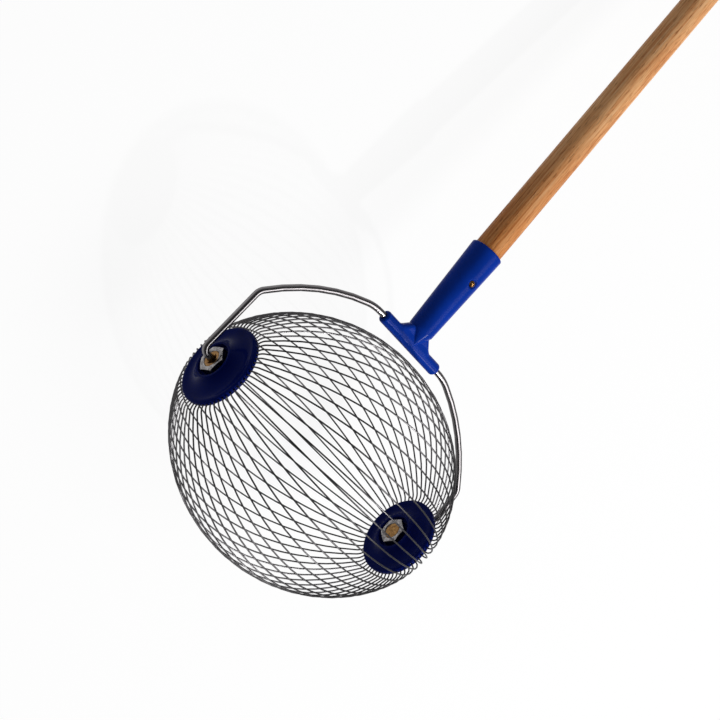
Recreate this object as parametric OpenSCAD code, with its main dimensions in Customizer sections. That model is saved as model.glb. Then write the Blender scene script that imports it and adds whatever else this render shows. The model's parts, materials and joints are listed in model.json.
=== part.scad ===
// Rolling nut gatherer: a barrel of springy wires that spins between the arms of a
// bent rod yoke, carried by a moulded tee head on a long wooden handle.
// It lies as it is put down: the basket on two of its wires, the handle's end on the ground.
// Millimetres. +Z is up, X is the basket's axle, and the handle points along +Y.

/* [Basket] */
// Distance between the middle planes of the two hub discs
hub_spacing = 290; // [250:1:330]
// Widest diameter of the basket, at the middle of the wires
belly_d = 245.6; // [225:0.2:270]
// Number of wires round the basket
wire_count = 60; // [48:2:64]
// Diameter of one basket wire
wire_d = 1.5; // [1.2:0.1:1.7]
// Radius of the bend that turns each wire from the hub's rim into the belly
wire_bend_r = 10; // [6:0.5:14]
// Straight wire that shows between the hub's rim and that bend
wire_rim_run = 2.3; // [0.5:0.1:6]
// Diameter of the upset head on each end of a wire
wire_head_d = 2.3; // [2:0.1:2.4]
// Length of that head
wire_head_len = 1.4; // [1:0.1:2]
// Length of wire held between the two discs of a hub, from its rim to the head
wire_grip = 10; // [7:0.5:12]

/* [Hub discs] */
// Diameter of a hub disc
hub_d = 81; // [78:0.5:92]
// Height of the disc's rolled rim above the hub's middle plane
hub_rim_h = 3.4; // [3:0.1:5]
// Rounding of the rim's edge
hub_rim_round = 2; // [1:0.1:2.4]
// Width of the rim's flat crest
hub_rim_flat = 1.3; // [0.5:0.1:3]
// Height of the boss in the middle of the disc above the hub's middle plane
hub_boss_h = 11; // [9:0.1:13]
// Diameter of the boss at its crest
hub_boss_d = 38; // [36.5:0.5:42]
// Depth of the dished sweep between rim and boss, below a straight cone
hub_dish = 3.3; // [1:0.1:4]
// Diameter of the pit in the boss that holds the nut
hub_pit_d = 33; // [31:0.5:34]
// Height of the pit's floor above the hub's middle plane
hub_pit_h = 5; // [4:0.1:6]
// Chamfer on the boss's edges
hub_edge = 0.6; // [0.2:0.1:0.9]

/* [Axle bushes and nuts] */
// Diameter of the threaded axle bush
bush_d = 16; // [14:0.5:18]
// How far each end of the bush lies below the face of its nut
bush_sink = 0.6; // [0:0.1:1.5]
// Thickness of the bush's closed inner end
bush_end_t = 3; // [2:0.1:5]
// Diameter of the flared mouth of the bush
bush_mouth_d = 11; // [9:0.1:13]
// Depth of the flared mouth
bush_mouth_depth = 3; // [1:0.1:5]
// Width across the flats of a hub nut
nut_af = 24; // [22:0.1:25]
// Thickness of a hub nut
nut_t = 8; // [6:0.1:9]
// Height of the chamfer on a nut's corners
nut_chamfer = 0.9; // [0.4:0.1:1.4]

/* [Yoke] */
// Diameter of the yoke's rod
rod_d = 6.35; // [5:0.05:7.5]
// Gap between the head's crossbar and the widest wires
head_gap = 8.3; // [5:0.1:15]
// Straight rod that shows between a hub's nut and the bend beside it
axle_run = 5.2; // [3:0.1:12]
// Gap between the rod's end and the closed end of its bush
axle_end_gap = 0.3; // [0.1:0.1:1]
// Radius of the bend beside each hub
hub_bend_r = 7; // [6:0.5:12]
// Radius of the bend at each shoulder
shoulder_r = 12; // [9:0.5:25]
// Radius of the bend beside each end of the crossbar
collar_r = 60; // [30:1:90]
// Straight rod that shows at each end of the crossbar
collar_run = 4.8; // [1:0.1:8]
// Lean of each leg, out towards the hub
leg_lean = 4; // [0:0.5:8]
// Slope of the rod where it comes down to the shoulder
shoulder_slope = 47; // [42:0.5:55]
// Slope of the rod where it leaves the bend beside the crossbar
collar_slope = 18; // [12:0.5:24]

/* [Tee head] */
// Diameter of the crossbar
crossbar_d = 13; // [11:0.1:16]
// Length of the crossbar
crossbar_len = 88.2; // [84:0.2:110]
// Rounding of the crossbar's ends
crossbar_round = 2.6; // [1:0.1:3]
// Distance from the crossbar's axis to the mouth of the socket
socket_reach = 115; // [100:0.2:140]
// Distance from the crossbar's axis to the full round of the socket
socket_base = 16; // [13:0.5:20]
// Distance from the crossbar's axis to the socket's floor
socket_floor = 18; // [15:0.5:22]
// Wall of the socket
socket_wall = 2.6; // [2:0.1:3.5]
// Rounding of the socket's mouth
socket_round = 1.6; // [0.5:0.1:1.8]
// Length of the gusset along the crossbar's axis
gusset_foot = 59; // [50:1:80]
// Distance from the crossbar's axis to the top of the gusset
gusset_rise = 15.2; // [14:0.1:24]
// Thickness of the gusset
gusset_t = 10.8; // [7:0.1:10.8]

/* [Handle] */
// Diameter of the handle
handle_d = 28.6; // [25:0.1:34]
// Length of the handle, with the taper inside the socket
handle_len = 1067; // [900:1:1300]
// Diameter of the tapered end at the socket's floor
tenon_d = 21; // [17:0.1:23]
// Rounding of the handle's free end
handle_round = 9; // [3:0.5:12]

/* [Handle screw] */
// Distance from the crossbar's axis to the screw
screw_place = 78.7; // [50:0.1:95]
// Diameter of the screw's shank
screw_d = 4; // [3:0.1:5]
// Length of the screw below its head
screw_len = 18; // [10:0.5:20]
// Diameter of the screw's head
screw_head_d = 7; // [6:0.1:8]
// Height of the screw's head
screw_head_h = 2.4; // [1.5:0.1:3]
// Diameter of the counterbore round the head
counterbore_d = 9; // [8.5:0.1:10]
// Thickness of socket wall left under the head
counterbore_floor = 1.2; // [0.8:0.1:1.6]
// Width of the driver slot in the head
screw_slot_w = 0.9; // [0.6:0.1:1.2]
// Depth of that slot
screw_slot_depth = 1; // [0.5:0.1:1.2]

/* [Clearances] */
// Gap round a wire in its slot
wire_clear = 0.15; // [0.1:0.01:0.2]
// Gap round the rod's ends in their bushes
running_clear = 0.08; // [0.03:0.01:0.1]
// Gap round pieces that are clamped, screwed or pushed home
seat_clear = 0.15; // [0.05:0.01:0.25]

/* [Hidden] */
$fn = 64;
// Overrun of every cut past the face that it opens
over = 1;
// Pieces in each rounded corner, and in each dished sweep
round_steps = 6;
dish_steps = 12;
// Ball that closes each join of a bent wire or rod: how far it stands proud, and half the seam inside it
joint_proud = 0.03;
joint_seam = 0.1;
// Two neighbouring wires make one set
set_wire_count = 2;
set_count = wire_count / set_wire_count;

// Basket: the belly of a wire is an arc that runs into the bend at each rim
hub_r = hub_d / 2;
belly_r = belly_d / 2;
hub_x = hub_spacing / 2;
bend_centre_r = hub_r + wire_rim_run;
bend_centre_x = hub_x - wire_bend_r;
belly_rise = belly_r - bend_centre_r;
belly_arc_r = (pow(bend_centre_x, 2) + pow(belly_rise, 2) - pow(wire_bend_r, 2))
    / (2 * (belly_rise - wire_bend_r));
belly_half_turn = atan2(bend_centre_x, belly_arc_r - belly_rise);
wire_bend_turn = 90 - belly_half_turn;
wire_pitch = 360 / wire_count;
wire_end_r = hub_r - wire_grip - wire_head_len;

// Hubs: the two discs meet on the wires' outer side
split = wire_d / 2 + wire_clear;
groove_depth = wire_head_d / 2 + wire_clear;
groove_in_r = wire_end_r - wire_clear;
groove_out_r = wire_end_r + wire_head_len + wire_clear;
boss_r = hub_boss_d / 2;
pit_r = hub_pit_d / 2;
bush_hole_r = bush_d / 2 + seat_clear;
rim_crest_r = hub_r - hub_rim_round - hub_rim_flat;
nut_face = hub_pit_h + nut_t;
nut_corner_r = nut_af / sqrt(3);
bush_half = nut_face - bush_sink;
bush_bore_r = rod_d / 2 + running_clear;
bush_bore_floor = -bush_half + bush_end_t;
// Turn of each nut, one corner of it from +Y, as the spanner left it
nut_turns = [[7.6, 24], [41, 54]];

// Yoke: the bow between shoulder and collar takes the radius that closes the path
leg_heading = 90 - leg_lean;
bar_y = belly_r + wire_d / 2 + head_gap + crossbar_d / 2;
bar_end_x = crossbar_len / 2 + collar_run;
leg_foot_x = hub_x + nut_face + axle_run + hub_bend_r * sin(leg_heading);
leg_foot_y = hub_bend_r * (1 + cos(leg_heading));
bends_x = collar_r * sin(collar_slope) + shoulder_r * (sin(leg_heading) - sin(shoulder_slope));
bends_y = collar_r * (1 - cos(collar_slope)) + shoulder_r * (cos(shoulder_slope) - cos(leg_heading));
bow_x_share = sin(shoulder_slope) - sin(collar_slope);
bow_y_share = cos(collar_slope) - cos(shoulder_slope);
fall_y = bar_y - bends_y - leg_foot_y;
bow_r = (leg_foot_x - bar_end_x - bends_x - fall_y * tan(leg_lean))
    / (bow_x_share - bow_y_share * tan(leg_lean));
leg_len = (fall_y - bow_r * bow_y_share) / cos(leg_lean);
stub_len = nut_face + axle_run - bush_bore_floor - axle_end_gap;
stub_end_x = hub_x + bush_bore_floor + axle_end_gap;

// Head and handle
tenon_r = tenon_d / 2;
handle_r = handle_d / 2;
socket_taper = (handle_r - tenon_r) / (socket_reach - socket_floor);
socket_base_r = tenon_r + seat_clear + socket_wall - socket_taper * (socket_floor - socket_base);
socket_mouth_r = handle_r + seat_clear + socket_wall;
neck_r = gusset_t / 2 + seat_clear;
handle_start = socket_floor + seat_clear;
handle_end = handle_start + handle_len;
screw_wall_r = tenon_r + seat_clear + socket_taper * (screw_place - socket_floor);
screw_seat = screw_wall_r + counterbore_floor;

// Lying on the ground: the basket on two wires, the handle leaning down to its rounded end
axle_z = belly_r * cos(wire_pitch / 2) + wire_d / 2;
end_round_y = bar_y + handle_end - handle_round;
end_round_r = handle_r - handle_round;
lean = asin((axle_z - handle_round) / norm([end_round_y, end_round_r])) - atan2(end_round_r, end_round_y);
far_y = end_round_y * cos(lean) + end_round_r * sin(lean) + handle_round;
axle_y = (axle_z - far_y) / 2;

// Points of an arc about a centre, from one angle to another
function arc(centre, radius, from, to, steps) =
    [for (i = [0 : steps]) let (a = from + (to - from) * i / steps)
        centre + radius * [cos(a), sin(a)]];

// Points of a sweep from p to q that sinks by depth below the straight line between them
function dished(p, q, depth, steps) =
    let (half = norm(q - p) / 2,
         radius = (pow(half, 2) + pow(depth, 2)) / (2 * depth),
         along = (q - p) / norm(q - p),
         centre = (p + q) / 2 + (radius - depth) * [along[1], -along[0]],
         from = atan2(p[1] - centre[1], p[0] - centre[0]),
         to = atan2(q[1] - centre[1], q[0] - centre[0]))
    arc(centre, radius, from, to, steps);

// Angle of a wire round the axle, from +Y towards +Z: straight down lies halfway between two wires
function wire_angle(k) = -90 + wire_pitch * (k + 1 / 2);

// Turns +Z to the outer side of the left hub, at -1, or of the right hub, at 1
module at_hub(side) {
    translate([side * hub_x, 0, 0])
        rotate([0, side * 90, 0]) children();
}

// What turns with the basket stands level, and the yoke and the handle lean down behind it
module basket_place() {
    translate([0, axle_y, axle_z]) children();
}

module yoke_place() {
    translate([0, axle_y, axle_z])
        rotate([-lean, 0, 0]) children();
}

// Along the handle: +Z away from the crossbar's axis
module along_handle() {
    translate([0, bar_y, 0])
        rotate([-90, 0, 0]) children();
}

// A rod that starts along +X and turns towards -Y: each step is a straight run,
// then a bend with its radius and turn. A ball closes each join.
module bent_rod(steps, d, i = 0) {
    run = steps[i][0];
    radius = steps[i][1];
    turn = steps[i][2];
    last = i == len(steps) - 1;
    start = i == 0 ? 0 : joint_seam;
    finish = last ? run : run - joint_seam;
    if (run > 0) {
        translate([start, 0, 0])
            rotate([0, 90, 0]) cylinder(d = d, h = finish - start);
    }
    if (!last) {
        seam_turn = joint_seam / radius * 180 / PI;
        translate([run, 0, 0]) {
            if (run > 0) {
                sphere(d = d + 2 * joint_proud);
            }
            translate([0, -radius, 0]) {
                rotate([0, 0, 90 - turn + seam_turn])
                    rotate_extrude(angle = turn - 2 * seam_turn)
                        translate([radius, 0]) circle(d = d);
                rotate([0, 0, -turn])
                    translate([0, radius, 0]) {
                        sphere(d = d + 2 * joint_proud);
                        bent_rod(steps, d, i + 1);
                    }
            }
        }
    }
}

// One basket wire in the plane of X and +Y, from head to head
module wire() {
    leg = bend_centre_r - wire_end_r;
    path = [[leg, wire_bend_r, wire_bend_turn],
            [0, belly_arc_r, 2 * belly_half_turn],
            [0, wire_bend_r, wire_bend_turn],
            [leg, 0, 0]];
    translate([-hub_x, wire_end_r, 0])
        rotate([0, 0, 90]) bent_rod(path, wire_d);
    for (side = [-1, 1]) {
        translate([side * hub_x, wire_end_r, 0])
            rotate([-90, 0, 0]) cylinder(d = wire_head_d, h = wire_head_len);
    }
}

module basket_wires(set) {
    color("silver") basket_place() {
        for (k = [(set - 1) * set_wire_count : set * set_wire_count - 1]) {
            rotate([wire_angle(k), 0, 0]) wire();
        }
    }
}

// A hub disc's solid of revolution: its dished face above the middle plane, its flat back at base
module hub_disc(base) {
    rim_corner = [hub_r - hub_rim_round, hub_rim_h - hub_rim_round];
    dish_from = [rim_crest_r, hub_rim_h];
    dish_to = [boss_r, hub_boss_h - hub_edge];
    outline = concat(
        [[bush_hole_r, base], [hub_r, base]],
        arc(rim_corner, hub_rim_round, 0, 90, round_steps),
        dished(dish_from, dish_to, hub_dish, dish_steps),
        [[boss_r - hub_edge, hub_boss_h], [pit_r + hub_edge, hub_boss_h],
         [pit_r, hub_boss_h - hub_edge], [pit_r, hub_pit_h], [bush_hole_r, hub_pit_h]]);
    rotate_extrude() polygon(outline);
}

// Ring groove that takes the wires' heads, from one height to another about the middle plane
module head_groove(from, to) {
    translate([0, 0, from]) difference() {
        cylinder(r = groove_out_r, h = to - from);
        translate([0, 0, -over]) cylinder(r = groove_in_r, h = to - from + 2 * over);
    }
}

// Outer disc: a plain lid over the wires
module hub_cap(side) {
    color("midnightblue") basket_place() at_hub(side) difference() {
        hub_disc(split);
        head_groove(split - over, groove_depth);
    }
}

// Inner disc: one radial slot for each wire
module hub_plate(side) {
    color("midnightblue") basket_place() difference() {
        at_hub(side) mirror([0, 0, 1]) hub_disc(-split);
        at_hub(side) head_groove(-groove_depth, split + over);
        for (k = [0 : wire_count - 1]) {
            rotate([wire_angle(k), 0, 0])
                translate([side * (hub_x + over / 2), (groove_out_r + hub_r) / 2, 0])
                    cube([2 * split + over, hub_r - groove_out_r + 2 * over, wire_d + 2 * wire_clear],
                        center = true);
        }
    }
}

// Threaded bush, closed at its inner end, with a flared mouth for the yoke's end
module axle_bush(side) {
    mouth_r = bush_mouth_d / 2;
    color("goldenrod") basket_place() at_hub(side) rotate_extrude() polygon([
        [0, -bush_half], [bush_d / 2, -bush_half], [bush_d / 2, bush_half], [mouth_r, bush_half],
        [bush_bore_r, bush_half - bush_mouth_depth], [bush_bore_r, bush_bore_floor],
        [0, bush_bore_floor]]);
}

// Hexagon nut with chamfered corners, standing on its seat at height zero
module nut(turn) {
    crown_r = nut_af / 2 - nut_chamfer;
    chamfer_slope = nut_chamfer / (nut_corner_r - crown_r);
    outer_r = nut_corner_r + over;
    difference() {
        intersection() {
            rotate([0, 0, turn]) cylinder(r = nut_corner_r, h = nut_t, $fn = 6);
            rotate_extrude() polygon([
                [0, -over], [outer_r, -over], [outer_r, nut_t - chamfer_slope * (outer_r - crown_r)],
                [crown_r - over, nut_t + chamfer_slope * over], [0, nut_t + chamfer_slope * over]]);
        }
        translate([0, 0, -over]) cylinder(r = bush_hole_r, h = nut_t + 2 * over);
    }
}

module outer_nut(side) {
    turn = nut_turns[0][side > 0 ? 1 : 0];
    color("lightgray") basket_place() at_hub(side)
        translate([0, 0, hub_pit_h]) nut(90 + side * turn);
}

module inner_nut(side) {
    turn = nut_turns[1][side > 0 ? 1 : 0];
    color("lightgray") basket_place() at_hub(side)
        mirror([0, 0, 1]) translate([0, 0, hub_pit_h]) nut(90 + side * turn);
}

// The yoke is one rod: stub, leg, shoulder and bow on each side of the crossbar
module yoke_rod() {
    hub_turn = 180 - leg_heading;
    shoulder_turn = leg_heading - shoulder_slope;
    bow_turn = shoulder_slope - collar_slope;
    path = [[stub_len, hub_bend_r, hub_turn],
            [leg_len, shoulder_r, shoulder_turn],
            [0, bow_r, bow_turn],
            [0, collar_r, collar_slope],
            [2 * bar_end_x, collar_r, collar_slope],
            [0, bow_r, bow_turn],
            [0, shoulder_r, shoulder_turn],
            [leg_len, hub_bend_r, hub_turn],
            [stub_len, 0, 0]];
    color("gray") yoke_place()
        translate([-stub_end_x, 0, 0])
            rotate([0, 0, 180]) bent_rod(path, rod_d);
}

// Outside of the socket: a cone from the crossbar's axis, then a long taper to the rounded mouth
module socket_body() {
    mouth_corner = [socket_mouth_r - socket_round, socket_reach - socket_round];
    outline = concat(
        [[0, 0], [neck_r, 0], [socket_base_r, socket_base]],
        arc(mouth_corner, socket_round, 0, 90, round_steps),
        [[0, socket_reach]]);
    rotate_extrude() polygon(outline);
}

module crossbar() {
    radius = crossbar_d / 2;
    half = crossbar_len / 2;
    corner = [radius - crossbar_round, half - crossbar_round];
    outline = concat(
        [[0, -half]],
        arc([corner[0], -corner[1]], crossbar_round, -90, 0, round_steps),
        arc(corner, crossbar_round, 0, 90, round_steps),
        [[0, half]]);
    rotate([0, 90, 0]) rotate_extrude() polygon(outline);
}

module gusset() {
    linear_extrude(gusset_t, center = true) polygon([
        [-gusset_foot / 2, 0], [gusset_foot / 2, 0],
        [socket_base_r, gusset_rise], [-socket_base_r, gusset_rise]]);
}

module tee_head() {
    color("mediumblue") yoke_place() difference() {
        union() {
            translate([0, bar_y, 0]) crossbar();
            translate([0, bar_y, 0]) gusset();
            along_handle() socket_body();
        }
        translate([0, bar_y, 0]) rotate([0, 90, 0])
            cylinder(d = rod_d + 2 * seat_clear, h = crossbar_len + 2 * over, center = true);
        along_handle() rotate_extrude() polygon([
            [0, socket_floor], [tenon_r + seat_clear, socket_floor],
            [handle_r + seat_clear, socket_reach],
            [handle_r + seat_clear, socket_reach + over], [0, socket_reach + over]]);
        translate([0, bar_y + screw_place, 0]) {
            cylinder(d = screw_d + 2 * seat_clear, h = handle_d);
            translate([0, 0, screw_seat]) cylinder(d = counterbore_d, h = handle_d);
        }
    }
}

// Round dowel: a tapered end for the socket, a straight shaft and a rounded free end
module handle() {
    mouth = socket_reach;
    end_corner = [handle_r - handle_round, handle_end - handle_round];
    outline = concat(
        [[0, handle_start], [tenon_r, handle_start], [handle_r, mouth]],
        arc(end_corner, handle_round, 0, 90, 2 * round_steps),
        [[0, handle_end]]);
    color("burlywood") yoke_place() difference() {
        along_handle() rotate_extrude() polygon(outline);
        translate([0, bar_y + screw_place, screw_seat - screw_len - seat_clear])
            cylinder(d = screw_d + 2 * seat_clear, h = handle_d);
    }
}

// Round-headed screw through the socket's wall into the handle
module handle_screw() {
    head_r = screw_head_d / 2;
    dome_r = (pow(head_r, 2) + pow(screw_head_h, 2)) / (2 * screw_head_h);
    rim_angle = acos(head_r / dome_r) * sign(screw_head_h - dome_r) * -1;
    dome = arc([0, screw_head_h - dome_r], dome_r, rim_angle, 90, round_steps);
    color("darkgoldenrod") yoke_place()
        translate([0, bar_y + screw_place, screw_seat]) difference() {
            union() {
                rotate_extrude() polygon(concat([[0, 0]], dome));
                translate([0, 0, -screw_len]) cylinder(d = screw_d, h = screw_len + screw_slot_depth / 2);
            }
            translate([0, 0, screw_head_h])
                cube([screw_head_d + over, screw_slot_w, 2 * screw_slot_depth], center = true);
        }
}

handle();
handle_screw();
tee_head();
yoke_rod();
hub_cap(-1);  // left_hub_cap
hub_cap(1);  // right_hub_cap
hub_plate(-1);  // left_hub_plate
hub_plate(1);  // right_hub_plate
axle_bush(-1);  // left_axle_bush
axle_bush(1);  // right_axle_bush
outer_nut(-1);  // left_outer_nut
outer_nut(1);  // right_outer_nut
inner_nut(-1);  // left_inner_nut
inner_nut(1);  // right_inner_nut
for (i = [1 : set_count]) {
    basket_wires(i);
}
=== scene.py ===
# %% [markdown]
# # A rolling nut gatherer
# A barrel of springy wires spins between the arms of a bent rod yoke, and a moulded tee head
# carries the yoke on a long wooden handle. Rolled over the ground, the barrel takes in fallen
# nuts: the wires part, the nut slips through, and the wires close behind it.
#
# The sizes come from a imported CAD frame. This lesson loads the frame, sets up the camera and the
# light, mixes one finish for each material, and then builds each piece again with the soft edges,
# grain and tool marks that a working model leaves out.

import json
import math

import bmesh
import bpy
import numpy as np
from mathutils import Matrix, Vector


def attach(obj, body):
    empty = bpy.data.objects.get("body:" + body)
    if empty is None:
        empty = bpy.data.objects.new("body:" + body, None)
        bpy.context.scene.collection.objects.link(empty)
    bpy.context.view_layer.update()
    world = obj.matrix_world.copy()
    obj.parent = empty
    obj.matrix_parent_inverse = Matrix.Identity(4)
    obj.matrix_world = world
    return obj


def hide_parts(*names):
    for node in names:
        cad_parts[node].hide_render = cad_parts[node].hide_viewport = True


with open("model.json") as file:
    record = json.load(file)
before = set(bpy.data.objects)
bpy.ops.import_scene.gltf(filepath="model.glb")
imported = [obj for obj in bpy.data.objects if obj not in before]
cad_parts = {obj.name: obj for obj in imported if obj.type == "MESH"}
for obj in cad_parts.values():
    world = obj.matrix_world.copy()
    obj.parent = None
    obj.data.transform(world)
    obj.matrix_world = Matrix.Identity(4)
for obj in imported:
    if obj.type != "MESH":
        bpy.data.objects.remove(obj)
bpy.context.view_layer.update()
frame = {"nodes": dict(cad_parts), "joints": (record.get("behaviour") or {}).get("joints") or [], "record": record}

# %% [markdown]
# ## The tool's own axes
# The tool lies on the ground: the basket stands level, and the yoke and handle lean down behind
# it. Two facts in the record give those axes. The spin joint holds the axle's middle, and the
# handle's mount holds the direction of the handle. Working in these axes keeps each shape simple,
# because the yoke is then flat and the handle runs straight along one of them.

# %% Axes of the yoke and the basket
MM = 0.001
spin = frame["joints"][0]
grip = frame["record"]["mounts"][0]
axle = np.array(spin["pos_m"], float)
across = np.array(spin["axis"], float)
along = np.array(grip["axis"], float)
along = along / np.linalg.norm(along)
above = np.cross(across, along)
lean = math.asin(-along[2])


def in_yoke(points):
    """Points in the yoke's axes, from the axle's middle, moved into the row frame."""
    return np.asarray(points, float) @ np.array([across, along, above]) + axle


def in_basket(points):
    """Points in the level basket's axes, from the axle's middle, moved into the row frame."""
    return np.asarray(points, float) + axle


print("axle at", axle.round(4).tolist(),
      "and the handle leans", round(math.degrees(lean), 2), "degrees")

# %% [markdown]
# ## The camera
# The view looks steeply down on the tool, with the picture turned so that the handle runs out at
# the top right. A long lens far away keeps the two hubs nearly the same size. The angles are
# applied in turn: first the compass direction, then the tilt, then the roll about the lens.

# %% Camera
camera_from_axle = np.array([-1025.29, -6.57, 1299.44]) * MM
camera_azimuth = math.radians(84.276)
camera_tilt = math.radians(-52.641)
camera_roll = math.radians(128.877)
camera_lens = 89.42
camera_sensor = 36
camera_sight = 50

camera = bpy.data.objects.new("camera", bpy.data.cameras.new("camera"))
camera.data.lens = camera_lens
camera.data.sensor_width = camera_sensor
camera.data.clip_end = camera_sight
turned = (Matrix.Rotation(-camera_azimuth, 4, "Z")
          @ Matrix.Rotation(math.pi / 2 + camera_tilt, 4, "X")
          @ Matrix.Rotation(camera_roll, 4, "Z"))
camera.matrix_world = Matrix.Translation(Vector(axle + camera_from_axle)) @ turned
bpy.context.scene.collection.objects.link(camera)
bpy.context.scene.camera = camera
print("camera", round(float(np.linalg.norm(camera_from_axle)), 3), "m from the axle")

# %% [markdown]
# ## A helper for finishes
# Every finish here is a small graph of nodes around one Principled shader. Typing each node and
# link by hand hides what a finish is about, so this helper has a short call for each common
# step: read a place, make a noise, squeeze a range, ramp a colour, raise a bump. The floor uses
# the same calls, with shaders of its own in place of the Principled one.

# %% Finish helper
class Finish:
    """One material, with short calls that add nodes and wire them up."""

    def __init__(self, name, **values):
        self.material = bpy.data.materials.new(name)
        self.material.use_nodes = True
        self.nodes = self.material.node_tree.nodes
        self.links = self.material.node_tree.links
        self.shader = self.nodes["Principled BSDF"]
        for socket, value in values.items():
            label = socket.replace("_", " ").title().replace("Ior", "IOR")
            self.shader.inputs[label].default_value = value

    def feed(self, socket, value):
        """Links another node's output to a socket, or sets a plain value there."""
        if isinstance(value, bpy.types.NodeSocket):
            self.links.new(value, socket)
        else:
            socket.default_value = value

    def add(self, kind, feeds, **settings):
        """A node of some kind, with its settings made and its sockets fed."""
        node = self.nodes.new("ShaderNode" + kind)
        for name, value in settings.items():
            setattr(node, name, value)
        for name, value in feeds.items():
            self.feed(node.inputs[name], value)
        return node

    def place(self, scale=(1, 1, 1), turn=(0, 0, 0), shift=(0, 0, 0)):
        """The surface's place in the piece's own frame, turned, shifted and stretched."""
        point = self.add("TexCoord", {}).outputs["Object"]
        turned = self.add("Mapping", {"Vector": point, "Rotation": turn, "Location": shift})
        return self.add("Mapping", {"Vector": turned.outputs[0], "Scale": scale}).outputs[0]

    def attribute(self, name, scale=(1, 1, 1)):
        """A place stored on the mesh, such as how far along a wire each point lies."""
        stored = self.add("Attribute", {}, attribute_name=name)
        return self.add("Mapping", {"Vector": stored.outputs["Vector"], "Scale": scale}).outputs[0]

    def noise(self, where, scale, detail=3.0, distortion=0.0):
        feeds = {"Vector": where, "Scale": scale, "Detail": detail, "Distortion": distortion}
        return self.add("TexNoise", feeds).outputs["Fac"]

    def spread(self, value, low, high, to_low=0, to_high=1):
        """Stretches the range from low to high onto another range, clamped at its ends."""
        feeds = {"Value": value, "From Min": low, "From Max": high,
                 "To Min": to_low, "To Max": to_high}
        return self.add("MapRange", feeds).outputs["Result"]

    def combine(self, operation, *values):
        """One sum of numbers, such as a product or a difference."""
        return self.add("Math", dict(enumerate(values)), operation=operation).outputs[0]

    def ramp(self, value, stops):
        """Turns a number into a colour: each stop is a position and a colour."""
        node = self.add("ValToRGB", {"Fac": value})
        while len(node.color_ramp.elements) < len(stops):
            node.color_ramp.elements.new(0.5)
        for element, (position, colour) in zip(node.color_ramp.elements, stops):
            element.position = position
            element.color = (*colour, 1)
        return node.outputs["Color"]

    def mix(self, share, first, second):
        """Mixes two colours, which a Mix node keeps in its sockets 6 and 7 and its output 2."""
        node = self.add("Mix", {0: share}, data_type="RGBA")
        self.feed(node.inputs[6], first)
        self.feed(node.inputs[7], second)
        return node.outputs[2]

    def bump(self, height, depth):
        return self.add("Bump", {"Height": height, "Distance": depth}).outputs["Normal"]

    def dress(self, colour, roughness, normal):
        """Feeds the shader and hands over the finished material."""
        self.feed(self.shader.inputs["Base Color"], colour)
        self.feed(self.shader.inputs["Roughness"], roughness)
        self.feed(self.shader.inputs["Normal"], normal)
        print("finish", self.material.name, "with", len(self.nodes), "nodes")
        return self.material


print("finish helper ready")

# %% [markdown]
# ## Floor, sky and lamps
# Polished wire shows what stands around it, so the studio matters as much as the metal. The sky
# is dim overhead, where the camera stands, and lighter near the horizon, like the walls of a
# large room: the wires then look dark down their middle and lighter along their edges. One large
# soft lamp hangs above, on the far side from the camera. It gives the handle a light and a dark
# side, and it shows in the polished rod and wires as a thin bright line. A smaller and sharper
# lamp in front of it adds the small glints on the plastic's ridges and on the screw.
#
# The floor is white to the camera and to mirror-like surfaces, and most of that white is its own
# glow. The rest is light that falls on it, so the tool's shadow still shows. To soft light that
# bounces, the floor is only grey, which keeps the shaded sides of the tool dark. Far from the
# tool the glow fades, as it does on a lit table in a darker room, and that draws the thin dark
# line along the edges of the polished metal.

# %% Floor
floor_size = 60.0
floor_glow_share = 0.9
floor_seen_grey = 0.9
floor_bounce_grey = 0.4
floor_fade_from = 1.0
floor_fade_to = 2.6
floor_far_glow = 0.42

floor_mesh = bpy.data.meshes.new("floor")
half = floor_size / 2
floor_mesh.from_pydata([(-half, -half, 0), (half, -half, 0), (half, half, 0), (-half, half, 0)],
                       [], [(0, 1, 2, 3)])
floor = bpy.data.objects.new("floor", floor_mesh)
bpy.context.scene.collection.objects.link(floor)

paint = Finish("floor_paint")
paint.nodes.remove(paint.shader)
rays = paint.add("LightPath", {}).outputs
seen = paint.combine("MAXIMUM", rays["Is Camera Ray"], rays["Is Glossy Ray"])
seen = paint.combine("MAXIMUM", seen, rays["Is Transmission Ray"])
grey = paint.combine("MULTIPLY_ADD", seen, floor_seen_grey - floor_bounce_grey, floor_bounce_grey)
matt = paint.add("BsdfDiffuse", {"Color": grey}).outputs[0]
reach = paint.add("VectorMath", {0: paint.place()}, operation="LENGTH").outputs["Value"]
fade = paint.spread(reach, floor_fade_from, floor_fade_to, to_low=1, to_high=floor_far_glow)
glow = paint.add("Emission", {"Color": fade}).outputs[0]
glow_share = paint.combine("MULTIPLY", seen, floor_glow_share)
blend = paint.add("MixShader", {0: glow_share, 1: matt, 2: glow}).outputs[0]
paint.links.new(blend, paint.nodes["Material Output"].inputs["Surface"])
floor_mesh.materials.append(paint.material)
print("floor", floor_size, "m wide")

# %% Sky
sky_horizon = (0.58, 0.58, 0.59, 1)
sky_overhead = (0.07, 0.07, 0.072, 1)
sky_edge_shares = (0.1, 0.6)

sky = bpy.data.worlds.new("sky")
sky.use_nodes = True
bpy.context.scene.world = sky
tree = sky.node_tree
direction = tree.nodes.new("ShaderNodeTexCoord")
height = tree.nodes.new("ShaderNodeSeparateXYZ")
fade = tree.nodes.new("ShaderNodeValToRGB")
sky_colours = (sky_horizon, sky_overhead)
for element, share, colour in zip(fade.color_ramp.elements, sky_edge_shares, sky_colours):
    element.position = share
    element.color = colour
tree.links.new(direction.outputs["Generated"], height.inputs[0])
tree.links.new(height.outputs["Z"], fade.inputs[0])
tree.links.new(fade.outputs[0], tree.nodes["Background"].inputs["Color"])
bpy.context.scene.view_settings.view_transform = "Standard"
print("sky", sky_horizon[:3], "at the horizon and", sky_overhead[:3], "overhead")

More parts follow.
